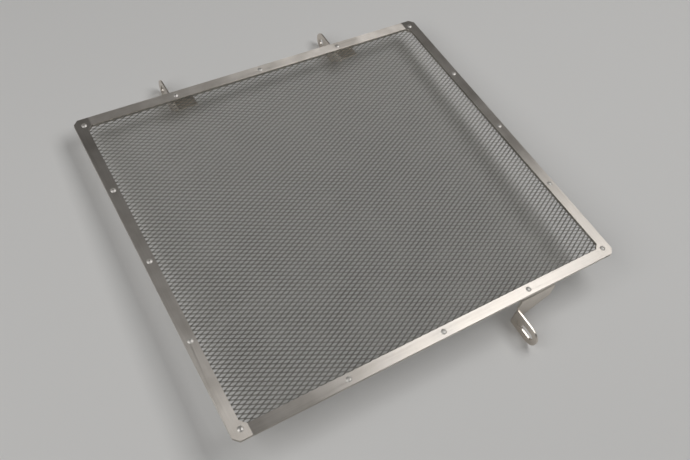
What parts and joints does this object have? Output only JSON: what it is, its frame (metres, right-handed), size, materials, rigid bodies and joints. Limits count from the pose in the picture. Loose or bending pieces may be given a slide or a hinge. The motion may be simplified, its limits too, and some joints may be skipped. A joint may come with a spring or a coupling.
{
  "type": "motorcycle radiator guard",
  "caption": "Rectangular radiator guard: expanded metal mesh riveted between thin steel frames, with upper eye brackets and a slotted lower bracket.",
  "frame": {"origin": "middle of the part's footprint, on the level of its lowest edge, the lower bracket's toe and tab", "axes": "+Z out of the guard's front face, +Y towards the two upper brackets, +X to the right seen from the front"},
  "size_m": [0.374, 0.3955, 0.039],
  "materials": {
    "frame_steel": "satin",
    "mesh_steel": "satin",
    "bracket_steel": "satin",
    "rivet_steel": "polished",
    "pin_steel": "rough"
  },
  "bodies": {
    "root": {"front_frame": "frame_steel", "mesh_panel": "mesh_steel", "rear_frame": "frame_steel", "upper_bracket_left": "bracket_steel", "upper_bracket_right": "bracket_steel", "lower_bracket": "bracket_steel", "frame_rivets": "rivet_steel", "frame_rivet_pins": "pin_steel", "bracket_rivets": "rivet_steel", "bracket_rivet_pins": "pin_steel"}
  },
  "joints": []
}
